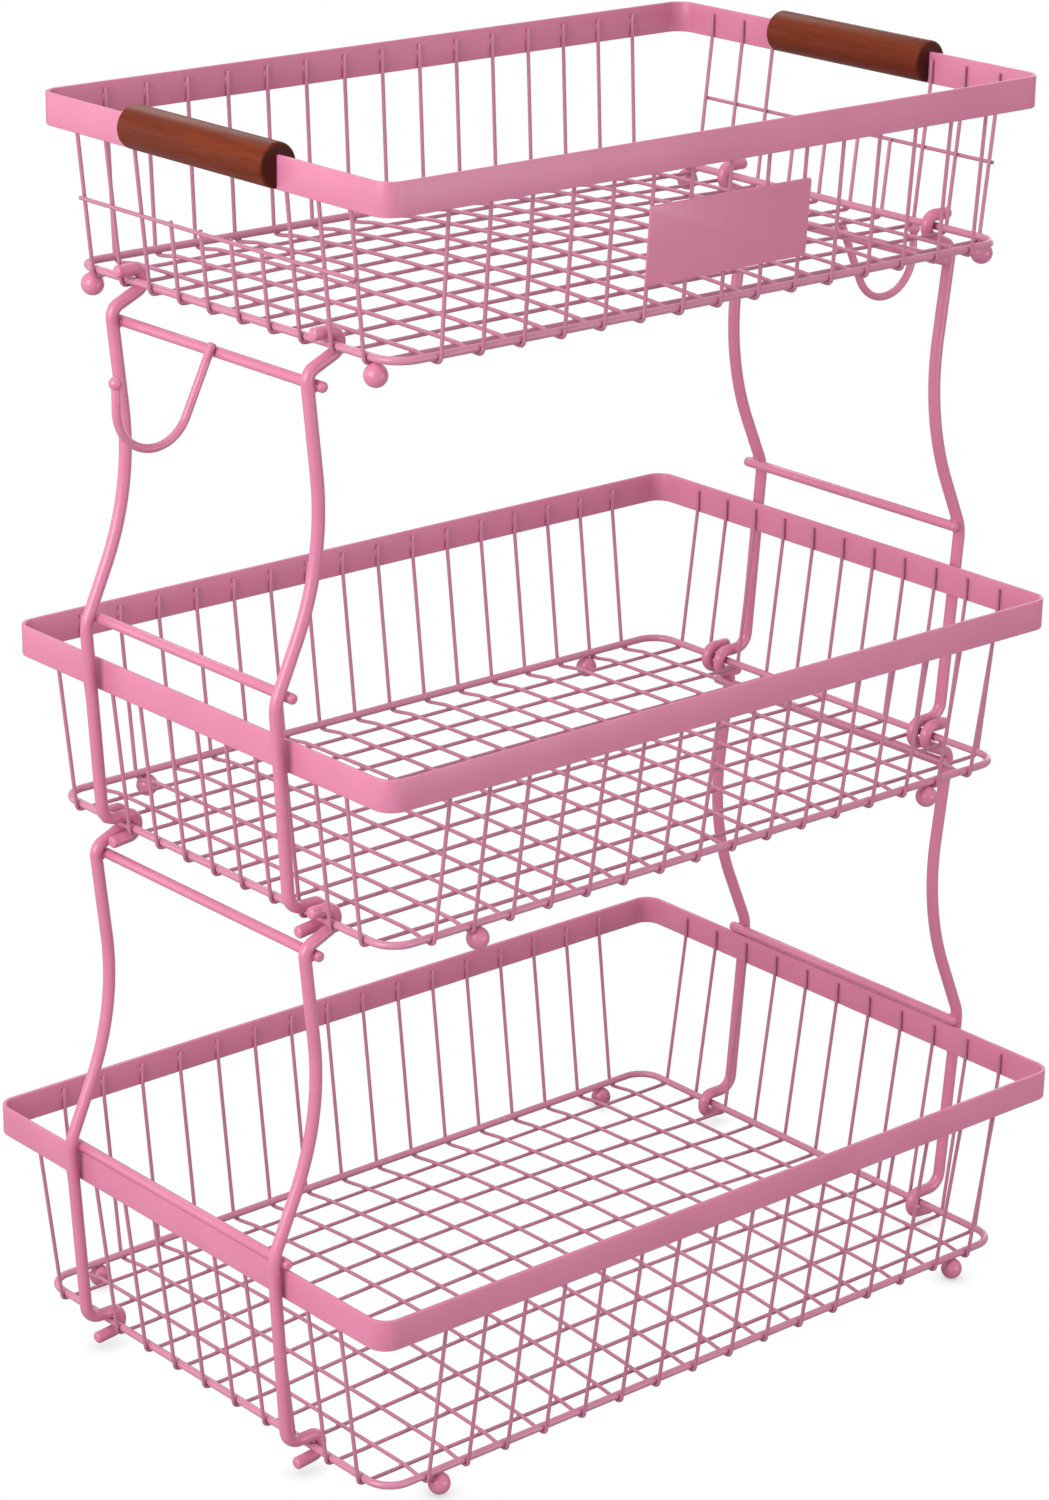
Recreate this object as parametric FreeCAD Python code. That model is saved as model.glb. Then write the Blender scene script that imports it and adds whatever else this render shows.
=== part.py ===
import FreeCAD, Part
import math
import os
from FreeCAD import Vector

# Three wire baskets, each a little smaller than the one below it, stand over one another on four bent wire
# supports that hook round the baskets' base rings. X runs along the baskets, Y from front to back, Z up.
# The table is at Z = 0. Lengths are in millimetres and angles in degrees.

# Stock: round wire, flat strip, balls and dowel.
mesh_wire = 1.9
ring_wire = 3.7
upright_wire = 6.0
crossbar_wire = 5.0
side_hook_wire = 4.0
strip_height = 15.0
strip_thickness = 2.0
foot_ball = 10.8
tip_ball = 6.2

# Clearances: a weld line between pieces that are welded, a running gap round the ring inside a hook, the
# room between a hook and the mesh wires beside it, and the room between the two hooks on the middle ring.
weld_gap = 0.05
hook_play = 0.45
bay_room = 0.6
hooks_gap = 3.0

# Baskets: outside of the rim strip, centre line of the base ring, and ring centre to strip top.
bottom_rim_length = 442.6
bottom_rim_width = 305.4
bottom_ring_length = 409.4
bottom_ring_width = 270.6
bottom_depth = 98.1
middle_rim_length = 419.2
middle_rim_width = 281.4
middle_ring_length = 391.0
middle_ring_width = 250.2
middle_depth = 85.8
top_rim_length = 398.0
top_rim_width = 249.4
top_ring_length = 372.4
top_ring_width = 229.6
top_depth = 79.5
rim_corner = 10.0
ring_corner = 13.0

# Mesh: long wires run along X, cross wires along Y on top of them. The outermost wire of each set keeps
# its edge distance from the base ring, and every wire ends a little below the top of the strip. A cross wire
# dips from the top of the long wires to pass under the ring; its dip is measured inward from the ring. Inside
# the dips the floor rises in a shallow crown, highest in the middle of the basket.
bottom_long_count = 11
bottom_cross_count = 16
middle_long_count = 11
middle_cross_count = 16
top_long_count = 10
top_cross_count = 15
long_edge = 16.8
cross_edge = 23.4
wire_end_drop = 3.0
wire_kink = 3.0
dip_start = 2.0
dip_end = 14.5
dip_bend = 20.0
bottom_crown = 6.5
middle_crown = 1.5
top_crown = 3.5

# Heights from one base ring to the next.
lower_rise = 264.2
upper_rise = 260.8

# Supports: centre distance of the upper pair's uprights, then the bends of one upright. Hip and lean are
# set from the rim of the basket below, waist and shoulder from the base ring of the basket above. All the
# uprights take their hip from the bottom rim. The lower supports' lower bars lie just over that rim, and the
# upper ones' stand higher; both are measured from the hip corner.
upright_spacing = 142.0
lower_rim_gap = 2.15
upper_rim_gap = 3.95
hip_over_rim = 5.5
lean_share = 0.074
waist_drop = 95.0
waist_out = 2.4
shoulder_out = 12.4
toe_bend = 8.0
hip_bend = 20.0
waist_bend = 139.0
shoulder_bend = 6.0
hook_tail = 9.5
tail_droop = 6.0
shoulder_angle = 24.0
lower_hip_bar_rise = -2.5
upper_hip_bar_rise = 2.4
lower_crossbar_drop = 15.8
upper_crossbar_drop = 18.2
crossbar_stub = 4.5

# Side hooks: how far the upright leg stands out from the top ring, its bend, its tip and its lap on the bar.
side_hook_reach = 61.3
side_hook_bend = 19.7
side_hook_lean = 26.0
side_hook_tip_drop = 7.5
side_hook_lap = 3.0

# Handles, hand slots and label plate of the top basket.
handle_length = 103.5
handle_wood = 20.0
handle_edge = 1.6
handle_drop = 4.8
handle_clear = 1.5
slot_bar_rise = 34.2
plate_width = 98.0
plate_height = 36.0
plate_thickness = 1.2
plate_corner = 1.5
plate_rise = 32.2

# Ball feet: clear distance from the mesh wire beside each ball.
bottom_foot_gap = 3.5
middle_foot_gap = 0.05
top_foot_gap = 0.05

overrun = 5.0

axis_x = Vector(1, 0, 0)
axis_y = Vector(0, 1, 0)
axis_z = Vector(0, 0, 1)
os.makedirs("parts", exist_ok=True)


def export(name, solids):
    shape = solids[0] if len(solids) == 1 else Part.makeCompound(solids)
    shape.exportStep("parts/" + name + ".step")


def bent_bar(points, bends, diameter):
    """Round bar along straight runs between the points, with a bend of the given radius at each inner one.

    A bend of 0 arches the bar from the bend before it to the bend after it, below its point.
    """
    edges = []
    start = points[0]
    for before, corner, after, bend in zip(points, points[1:], points[2:], bends):
        back = (before - corner).normalize()
        ahead = (after - corner).normalize()
        if bend == 0:
            arch = Part.BezierCurve()
            leave = corner + ahead * (corner - start).Length
            arch.setPoles([start, corner, leave])
            edges.append(arch.toShape())
            start = leave
            continue
        half = back.getAngle(ahead) / 2
        enter = corner + back * (bend / math.tan(half))
        leave = corner + ahead * (bend / math.tan(half))
        middle = corner + (back + ahead).normalize() * (bend / math.sin(half) - bend)
        if (enter - start).dot(corner - before) > weld_gap * bend:
            edges.append(Part.LineSegment(start, enter).toShape())
        else:
            enter = start
        edges.append(Part.Arc(enter, middle, leave).toShape())
        start = leave
    edges.append(Part.LineSegment(start, points[-1]).toShape())
    section = Part.Wire([Part.makeCircle(diameter / 2, points[0], points[1] - points[0])])
    return Part.Wire(edges).makePipeShell([section], True, False)


def straight_bar(start, end, diameter):
    return Part.makeCylinder(diameter / 2, (end - start).Length, start, end - start)


def rounded_rectangle(length, width, corner, z):
    """Closed wire round the Z axis, starting on the front straight."""
    across = length / 2
    depth = width / 2
    edges = []
    centres = [(across - corner, corner - depth, -90), (across - corner, depth - corner, 0),
               (corner - across, depth - corner, 90), (corner - across, corner - depth, 180)]
    arcs = [Part.makeCircle(corner, Vector(x, y, z), axis_z, turn, turn + 90) for x, y, turn in centres]
    for this, following in zip(arcs, arcs[1:] + arcs[:1]):
        edges.append(this)
        edges.append(Part.LineSegment(this.lastVertex().Point, following.firstVertex().Point).toShape())
    return Part.Wire(edges)


def rim_strip(length, width, top):
    """Flat strip bent on edge into a closed frame."""
    inner_length = length - 2 * strip_thickness
    inner_width = width - 2 * strip_thickness
    outer = rounded_rectangle(length, width, rim_corner, top - strip_height)
    inner = rounded_rectangle(inner_length, inner_width, rim_corner - strip_thickness, top - strip_height)
    return Part.Face([outer, inner]).extrude(Vector(0, 0, strip_height))


def base_ring(length, width, z):
    path = rounded_rectangle(length, width, ring_corner, z)
    first = path.OrderedEdges[0]
    heading = first.tangentAt(first.FirstParameter)
    section = Part.Wire([Part.makeCircle(ring_wire / 2, first.valueAt(first.FirstParameter), heading)])
    return path.makePipeShell([section], True, False)


def rows(width, edge, count, bays):
    """Even rows across a ring; a row that would run through a hook's bay stands at the bay's nearer side."""
    first = edge - width / 2
    pitch = -2 * first / (count - 1)
    places = []
    for index in range(count):
        place = first + pitch * index
        for near, far in bays:
            if near < abs(place) < far:
                aside = near if abs(place) - near < far - abs(place) else far
                place = math.copysign(aside, place)
        places.append(place)
    return places


def wall_line(rim_half, ring_half, ring_z, rim_top):
    """Kink at the strip's lower edge and the wall's direction up to it, for a wire outside the ring."""
    hug = (ring_wire + mesh_wire) / 2 + weld_gap
    out = rim_half - strip_thickness - weld_gap - mesh_wire / 2 - ring_half
    up = rim_top - strip_height - ring_z
    turn = math.atan2(up, out) - math.acos(hug / math.hypot(out, up))
    return out, up, turn, hug


def wall_at(wall, height):
    """Distance outside the ring centre of the wall wires' centre line, at a height over the ring centre."""
    out, up, turn, hug = wall
    return out - (up - height) * math.tan(-turn)


def floor_profile(wall):
    """Start of a wire's half in (outward from ring, up from ring): edge of the crown and floor corner."""
    hug = wall[3]
    return [(-dip_end, -hug), (wall_at(wall, -hug), -hug)], [dip_bend, hug]


def mesh_profile(wall, rim_top, ring_z):
    """Half of a long wire: edge of the crown, floor corner, kink and end, with its bends."""
    profile, bends = floor_profile(wall)
    out, up = wall[:2]
    return profile + [(out, up), (out, rim_top - wire_end_drop - ring_z)], bends + [wire_kink]


def dipped_profile(wall, rim_top, ring_z):
    """Half of a cross wire: it lies on the long wires and dips under the ring before its floor corner."""
    profile, bends = mesh_profile(wall, rim_top, ring_z)
    hug = wall[3]
    dip = [(-dip_end, mesh_wire + weld_gap - hug), (-dip_start, -hug)]
    return dip + profile[1:], [dip_bend] + bends


def crown_at(crown, place, ring_half):
    """Height of the crown in the middle of a wire that stands off to one side of the basket's middle."""
    return crown * (1 - (place / (ring_half - dip_end)) ** 2)


def mesh_wire_along(direction, side, place, ring_half, ring_z, profile, bends, rise):
    """One U-shaped mesh wire, bent round the ring at both ends and arched by the rise between its dips."""
    right = [direction * (ring_half + out) + side * place + axis_z * (ring_z + up) for out, up in profile]
    left = [direction * -(ring_half + out) + side * place + axis_z * (ring_z + up) for out, up in profile]
    peak = (left[0] + right[0]) / 2 + axis_z * (2 * rise)
    return bent_bar(left[::-1] + [peak] + right, bends[::-1] + [0] + bends, mesh_wire)


foot_drop = (ring_wire + foot_ball) / 2 + weld_gap


def foot_step(gap):
    """Distance along the ring from a mesh wire to the ball beside it."""
    reach = (foot_ball + mesh_wire) / 2 + gap
    return math.sqrt(reach ** 2 - ((foot_ball - mesh_wire) / 2) ** 2)


def ball(centre, diameter):
    return Part.makeSphere(diameter / 2, centre)


bottom_ring_z = foot_drop + foot_ball / 2
middle_ring_z = bottom_ring_z + lower_rise
top_ring_z = middle_ring_z + upper_rise
bottom_rim_top = bottom_ring_z + bottom_depth
middle_rim_top = middle_ring_z + middle_depth
top_rim_top = top_ring_z + top_depth

# Two pairs of hooks share the middle ring, so the lower pair's uprights stand outside the upper pair's.
upper_y = upright_spacing / 2
lower_y = upper_y + upright_wire + hooks_gap
bay = (upright_wire + mesh_wire) / 2 + bay_room
bottom_bays = [(lower_y - bay, lower_y + bay)]
middle_bays = [(upper_y - bay, lower_y + bay)]
top_bays = [(upper_y - bay, upper_y + bay)]


def basket(name, rim, ring, ring_z, rim_top, counts, crown, bays, short_reach):
    """Strip, ring, cross wires and long wires of one basket, with no long wires inside short_reach."""
    export(name + "_rim", [rim_strip(rim[0], rim[1], rim_top)])
    export(name + "_base_ring", [base_ring(ring[0], ring[1], ring_z)])
    cross_wall = wall_line(rim[1] / 2, ring[1] / 2, ring_z, rim_top)
    profile, bends = dipped_profile(cross_wall, rim_top, ring_z)
    cross_rows = rows(ring[0], cross_edge, counts[1], [])
    rises = [crown_at(crown, x, ring[0] / 2) for x in cross_rows]
    wires = [mesh_wire_along(axis_y, axis_x, x, ring[1] / 2, ring_z, profile, bends, rise)
             for x, rise in zip(cross_rows, rises)]
    export(name + "_cross_wires", wires)
    long_wall = wall_line(rim[0] / 2, ring[0] / 2, ring_z, rim_top)
    profile, bends = mesh_profile(long_wall, rim_top, ring_z)
    long_rows = rows(ring[1], long_edge, counts[0], bays)
    full = [y for y in long_rows if abs(y) >= short_reach]
    rises = [crown_at(crown, y, ring[1] / 2) for y in full]
    wires = [mesh_wire_along(axis_x, axis_y, y, ring[0] / 2, ring_z, profile, bends, rise)
             for y, rise in zip(full, rises)]
    export(name + "_long_wires", wires)
    return cross_rows, long_rows, cross_wall, long_wall


def feet(name, places, ring_z):
    export(name + "_feet", [ball(Vector(x, y, ring_z - foot_drop), foot_ball) for x, y in places])


# Bottom basket: its balls stand inside the first cross wires, on the long sides.
bottom_cross = basket(
    "bottom", (bottom_rim_length, bottom_rim_width), (bottom_ring_length, bottom_ring_width),
    bottom_ring_z, bottom_rim_top, (bottom_long_count, bottom_cross_count), bottom_crown, bottom_bays, 0)[0]
foot_x = bottom_cross[-1] - foot_step(bottom_foot_gap)
foot_y = bottom_ring_width / 2
feet("bottom", [(x, y) for x in (-foot_x, foot_x) for y in (-foot_y, foot_y)], bottom_ring_z)

# Middle basket: its balls stand against the second cross wires, on the long sides.
middle_cross = basket(
    "middle", (middle_rim_length, middle_rim_width), (middle_ring_length, middle_ring_width),
    middle_ring_z, middle_rim_top, (middle_long_count, middle_cross_count), middle_crown, middle_bays, 0)[0]
foot_x = middle_cross[-2] - foot_step(middle_foot_gap)
foot_y = middle_ring_width / 2
feet("middle", [(x, y) for x in (-foot_x, foot_x) for y in (-foot_y, foot_y)], middle_ring_z)

# Top basket: its balls stand outside the last long wires, on the short sides. The long wires under the
# handles stop at a bar across each short side, which leaves a hand slot below the handle.
slot_reach = handle_length / 2 + mesh_wire / 2 + handle_clear
top_long, top_front, top_side = basket(
    "top", (top_rim_length, top_rim_width), (top_ring_length, top_ring_width),
    top_ring_z, top_rim_top, (top_long_count, top_cross_count), top_crown, top_bays, slot_reach)[1:]
foot_x = top_ring_length / 2
foot_y = top_long[-1] + foot_step(top_foot_gap)
feet("top", [(x, y) for x in (-foot_x, foot_x) for y in (-foot_y, foot_y)], top_ring_z)

slot_end = slot_bar_rise + mesh_wire / 2
slot_profile, slot_bends = floor_profile(top_side)
slot_profile = slot_profile + [(wall_at(top_side, slot_end), slot_end)]
slot_rows = [y for y in top_long if abs(y) < slot_reach]
slot_rises = [crown_at(top_crown, y, top_ring_width / 2) for y in slot_rows]
slot_half = top_ring_length / 2
slot_wires = [mesh_wire_along(axis_x, axis_y, y, slot_half, top_ring_z, slot_profile, slot_bends, rise)
              for y, rise in zip(slot_rows, slot_rises)]
export("top_slot_wires", slot_wires)

bar_off = (mesh_wire + weld_gap) / math.cos(top_side[2])
bar_x = top_ring_length / 2 + wall_at(top_side, slot_bar_rise) + bar_off
bar_y = top_long[-1] + mesh_wire / 2
for name, side in (("left", -1), ("right", 1)):
    start = Vector(side * bar_x, -bar_y, top_ring_z + slot_bar_rise)
    end = Vector(side * bar_x, bar_y, top_ring_z + slot_bar_rise)
    export(name + "_slot_bar", [straight_bar(start, end, mesh_wire)])


# Handles: a turned dowel with rounded ends, slotted from below and pressed over the strip.
handle_z = top_rim_top - handle_drop
slot_width = strip_thickness + 2 * weld_gap
for name, side in (("left", -1), ("right", 1)):
    x = side * (top_rim_length - strip_thickness) / 2
    near = Vector(x, -handle_length / 2, handle_z)
    far = Vector(x, handle_length / 2, handle_z)
    dowel = straight_bar(near, far, handle_wood)
    rims = [edge for edge in dowel.Edges if edge.Closed and edge.Curve.TypeId == "Part::GeomCircle"]
    dowel = dowel.makeFillet(handle_edge, rims)
    slot_z = handle_z - handle_wood / 2 - overrun
    slot = Part.makeBox(slot_width, handle_length + 2 * overrun, top_rim_top + weld_gap - slot_z,
                        Vector(x - slot_width / 2, -handle_length / 2 - overrun, slot_z))
    export(name + "_handle", [dowel.cut(slot)])

# Label plate: a plain plate with eased corners, flat against the front wall's cross wires.
plate_lean = math.degrees(-top_front[2])
outline = rounded_rectangle(plate_width, plate_height, plate_corner, 0)
plate = Part.Face(outline).extrude(Vector(0, 0, plate_thickness))
plate.rotate(Vector(0, 0, 0), axis_x, 90 + plate_lean)
plate_out = (mesh_wire / 2 + weld_gap) / math.cos(top_front[2])
plate_y = top_ring_width / 2 + wall_at(top_front, plate_rise) + plate_out
plate.translate(Vector(0, -plate_y, top_ring_z + plate_rise))
export("label_plate", [plate])


# Supports
def support_profile(rim_half, rim_gap, ring_below, z_below, ring_above, z_above):
    """Centre line of an upright in (outward, up), from the tail of its lower hook to that of the upper."""
    round_ring = (ring_wire + upright_wire) / 2 + hook_play
    hip_height = bottom_depth + hip_over_rim
    hip = (rim_half + rim_gap + upright_wire / 2, z_below + hip_height)
    toe = (hip[0] - lean_share * (hip_height - round_ring), z_below + round_ring)
    tail = ring_below + hook_tail
    dip = round_ring + (hook_tail + round_ring) * math.tan(math.radians(tail_droop))
    rise = math.radians(shoulder_angle)
    inside = ring_above - round_ring
    under = z_above - round_ring * (1 - math.sin(rise)) / math.cos(rise)
    shoulder = (ring_above + shoulder_out, under - (shoulder_out + round_ring) * math.tan(rise))
    points = [(tail, z_below - dip), (ring_below - round_ring, z_below - round_ring),
              (ring_below - round_ring, z_below + round_ring), toe, hip,
              (ring_above + waist_out, z_above - waist_drop), shoulder,
              (inside, under), (inside, z_above + round_ring), (ring_above + hook_tail, z_above + round_ring)]
    bends = [round_ring, round_ring, toe_bend, hip_bend, waist_bend, shoulder_bend, round_ring, round_ring]
    return points, bends


def bar_seats(points, hip_bar_rise, drop):
    """Centres of the lower bar, inward of the hip bend, and of the upper bar, below the shoulder."""
    toe, hip, waist, shoulder = [Vector(out, 0, up) for out, up in points[3:7]]
    seat = (upright_wire + crossbar_wire) / 2 + weld_gap
    down_leg = (toe - hip).normalize()
    up_leg = (waist - hip).normalize()
    half = down_leg.getAngle(up_leg) / 2
    to_pin = (down_leg + up_leg).normalize()
    pin = hip + to_pin * (hip_bend / math.sin(half))
    over_pin = hip.z + hip_bar_rise - pin.z
    outward = math.copysign(1, -to_pin.x)
    lower = pin + Vector(outward * math.sqrt((hip_bend - outward * seat) ** 2 - over_pin ** 2), 0, over_pin)
    run = (waist - shoulder).normalize()
    down = drop - (points[8][1] - (ring_wire + upright_wire) / 2 - hook_play - shoulder.z)
    upper = shoulder + run * (down / -run.z) + Vector(run.z, 0, -run.x) * seat
    return lower, upper


def support(name, side, y, points, bends, seats):
    """Two bent uprights and the two bars welded across their inner sides."""
    for place, end in (("front", -y), ("rear", y)):
        path = [Vector(side * out, end, up) for out, up in points]
        export(name + "_" + place + "_upright", [bent_bar(path, bends, upright_wire)])
    for place, seat in zip(("lower", "upper"), seats):
        half = y + crossbar_stub
        start = Vector(side * seat.x, -half, seat.z)
        end = Vector(side * seat.x, half, seat.z)
        export(name + "_" + place + "_crossbar", [straight_bar(start, end, crossbar_wire)])


lower_points, support_bends = support_profile(
    bottom_rim_length / 2, lower_rim_gap, bottom_ring_length / 2, bottom_ring_z,
    middle_ring_length / 2, middle_ring_z)
upper_points, support_bends = support_profile(
    middle_rim_length / 2, upper_rim_gap, middle_ring_length / 2, middle_ring_z,
    top_ring_length / 2, top_ring_z)
lower_seats = bar_seats(lower_points, lower_hip_bar_rise, lower_crossbar_drop)
upper_seats = bar_seats(upper_points, upper_hip_bar_rise, upper_crossbar_drop)
for name, side in (("left", -1), ("right", 1)):
    support("lower_" + name, side, lower_y, lower_points, support_bends, lower_seats)
    support("upper_" + name, side, upper_y, upper_points, support_bends, upper_seats)

# Side hooks: one J of wire welded to the outside of each upper bar of the upper supports, ball at the tip.
bar = upper_seats[1]
lean = math.radians(side_hook_lean)
leg = Vector(math.sin(lean), 0, -math.cos(lean))
lap = bar + Vector(math.cos(lean), 0, math.sin(lean)) * ((crossbar_wire + side_hook_wire) / 2 + weld_gap)
reach = top_ring_length / 2 + side_hook_reach
elbow = lap + leg * ((reach - lap.x) / leg.x)
tip_z = bar.z - side_hook_tip_drop
hook_line = [lap - leg * side_hook_lap, elbow, Vector(reach, 0, tip_z)]
flat = -math.degrees(math.acos(side_hook_wire / tip_ball))
tip_rise = weld_gap + math.sqrt(tip_ball ** 2 - side_hook_wire ** 2) / 2
for name, side in (("left", -1), ("right", 1)):
    path = [Vector(side * point.x, 0, point.z) for point in hook_line]
    export(name + "_side_hook", [bent_bar(path, [side_hook_bend], side_hook_wire)])
    tip = Part.makeSphere(tip_ball / 2, Vector(side * reach, 0, tip_z + tip_rise), axis_z, flat, 90, 360)
    export(name + "_hook_tip", [tip])
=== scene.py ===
import bpy
import math
from mathutils import Matrix, Vector


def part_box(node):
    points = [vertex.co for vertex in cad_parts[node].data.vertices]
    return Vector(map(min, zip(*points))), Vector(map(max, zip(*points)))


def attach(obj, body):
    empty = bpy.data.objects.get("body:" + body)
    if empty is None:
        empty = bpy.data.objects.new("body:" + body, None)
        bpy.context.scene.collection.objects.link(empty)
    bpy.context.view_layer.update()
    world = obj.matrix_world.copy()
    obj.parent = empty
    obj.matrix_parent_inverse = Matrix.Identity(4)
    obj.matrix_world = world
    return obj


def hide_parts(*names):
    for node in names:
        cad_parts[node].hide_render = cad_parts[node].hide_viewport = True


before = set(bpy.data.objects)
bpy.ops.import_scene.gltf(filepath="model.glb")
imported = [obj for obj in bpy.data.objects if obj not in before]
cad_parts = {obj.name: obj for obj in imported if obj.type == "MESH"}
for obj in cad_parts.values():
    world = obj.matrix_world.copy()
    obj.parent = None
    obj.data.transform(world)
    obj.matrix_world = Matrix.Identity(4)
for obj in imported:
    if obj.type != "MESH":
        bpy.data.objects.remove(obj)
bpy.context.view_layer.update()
bpy.ops.object.select_all(action="DESELECT")


# Bottom rim: flat steel strip, stood on edge and bent into a rounded rectangle, butt-welded and ground flush.
# It is powder coated in satin pink with the rest of the basket, and the coat softens its long edges.
def coat_texture():
    """Slow drift in shade and fine orange peel of a baked powder coat."""
    group = bpy.data.node_groups.new("powder_coat", "ShaderNodeTree")
    for label in ("Peel Scale", "Drift Scale"):
        group.interface.new_socket(label, in_out="INPUT", socket_type="NodeSocketFloat")
    for label in ("Drift", "Peel"):
        group.interface.new_socket(label, in_out="OUTPUT", socket_type="NodeSocketFloat")
    nodes, links = group.nodes, group.links
    into = nodes.new("NodeGroupInput")
    out = nodes.new("NodeGroupOutput")
    place = nodes.new("ShaderNodeTexCoord")
    drift = nodes.new("ShaderNodeTexNoise")
    drift.inputs["Detail"].default_value = 3.0
    peel = nodes.new("ShaderNodeTexNoise")
    peel.inputs["Detail"].default_value = 1.5
    peel.inputs["Roughness"].default_value = 0.35
    for noise, scale in ((drift, "Drift Scale"), (peel, "Peel Scale")):
        links.new(place.outputs["Object"], noise.inputs["Vector"])
        links.new(into.outputs[scale], noise.inputs["Scale"])
    links.new(drift.outputs["Fac"], out.inputs["Drift"])
    links.new(peel.outputs["Fac"], out.inputs["Peel"])
    return group


def coat_material(name, light, deep, peel_scale, bump, dull, bright):
    """Satin pink powder coat: two close pinks, gloss that varies with them, orange peel as a faint bump."""
    material = bpy.data.materials.new(name)
    material.use_nodes = True
    nodes, links = material.node_tree.nodes, material.node_tree.links
    shader = nodes["Principled BSDF"]
    shader.inputs["Specular IOR Level"].default_value = 0.5
    shader.inputs["Coat Roughness"].default_value = 0.22
    shader.inputs["Coat Weight"].default_value = 0.10
    coat = nodes.new("ShaderNodeGroup")
    coat.node_tree = powder_coat
    coat.inputs["Peel Scale"].default_value = peel_scale
    coat.inputs["Drift Scale"].default_value = 22.0
    pink = nodes.new("ShaderNodeValToRGB")
    pink.color_ramp.elements[0].position = 0.3
    pink.color_ramp.elements[0].color = (*deep, 1)
    pink.color_ramp.elements[1].position = 0.7
    pink.color_ramp.elements[1].color = (*light, 1)
    gloss = nodes.new("ShaderNodeMapRange")
    gloss.inputs["From Min"].default_value = 0.3
    gloss.inputs["From Max"].default_value = 0.7
    gloss.inputs["To Min"].default_value = dull
    gloss.inputs["To Max"].default_value = bright
    relief = nodes.new("ShaderNodeBump")
    relief.inputs["Strength"].default_value = bump
    relief.inputs["Distance"].default_value = 0.0004
    links.new(coat.outputs["Drift"], pink.inputs["Fac"])
    links.new(pink.outputs["Color"], shader.inputs["Base Color"])
    links.new(coat.outputs["Drift"], gloss.inputs["Value"])
    links.new(gloss.outputs["Result"], shader.inputs["Roughness"])
    links.new(coat.outputs["Peel"], relief.inputs["Height"])
    links.new(relief.outputs["Normal"], shader.inputs["Normal"])
    return material


powder_coat = coat_texture()
light_pink = (0.640, 0.198, 0.328)
deep_pink = (0.590, 0.176, 0.300)
strip_coat = coat_material("pink_coat_strip", light_pink, deep_pink, peel_scale=700.0, bump=0.08,
                           dull=0.44, bright=0.36)
strip_thickness = 0.002


def fix(piece, finish, slot, body, *nodes):
    """Gives a finished piece its coat, and puts it in place of its solids on their body."""
    piece.data.materials.clear()
    piece.data.materials.append(finish)
    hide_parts(*nodes)
    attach(piece, body)
    bpy.ops.object.select_all(action="DESELECT")


def apply_modifiers(piece):
    """Makes what the modifiers show the mesh of the piece."""
    bpy.context.view_layer.objects.active = piece
    for modifier in list(piece.modifiers):
        bpy.ops.object.modifier_apply(modifier=modifier.name)


def soften(piece, width, limit):
    """Rounds the edges sharper than the limit, in degrees, as the coat leaves them."""
    edge = piece.modifiers.new("soft_edges", "BEVEL")
    edge.width = width
    edge.segments = 3
    edge.angle_limit = math.radians(limit)


def rim_strip(name):
    """A sheet outline with bevelled corners, its edge drawn up to the strip's height and given thickness."""
    low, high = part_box(name)
    corner = 0.010
    edge_round = 0.0005
    bpy.ops.mesh.primitive_plane_add(size=1, location=(0, 0, low[2]))
    piece = bpy.context.object
    piece.name = name + "_strip"
    bpy.ops.object.mode_set(mode="EDIT")
    bpy.ops.transform.resize(value=(high[0] - low[0], high[1] - low[1], 1), center_override=(0, 0, low[2]))
    bpy.ops.mesh.bevel(offset=corner, segments=10, affect="VERTICES")
    bpy.ops.mesh.delete(type="ONLY_FACE")
    bpy.ops.mesh.select_mode(type="EDGE")
    bpy.ops.mesh.select_all(action="SELECT")
    bpy.ops.mesh.extrude_edges_move(TRANSFORM_OT_translate={"value": (0, 0, high[2] - low[2])})
    bpy.ops.mesh.select_all(action="SELECT")
    bpy.ops.mesh.normals_make_consistent(inside=False)
    bpy.ops.object.mode_set(mode="OBJECT")
    bpy.ops.object.transform_apply(location=True, rotation=True, scale=True)
    wall = piece.modifiers.new("thickness", "SOLIDIFY")
    wall.thickness = strip_thickness
    wall.offset = -1
    wall.use_even_offset = True
    soften(piece, edge_round, limit=45)
    apply_modifiers(piece)
    bpy.ops.object.shade_smooth_by_angle(angle=math.radians(30))
    return piece


fix(rim_strip("bottom_rim"), strip_coat, "pink_coat", "bottom_basket", "bottom_rim")


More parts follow.
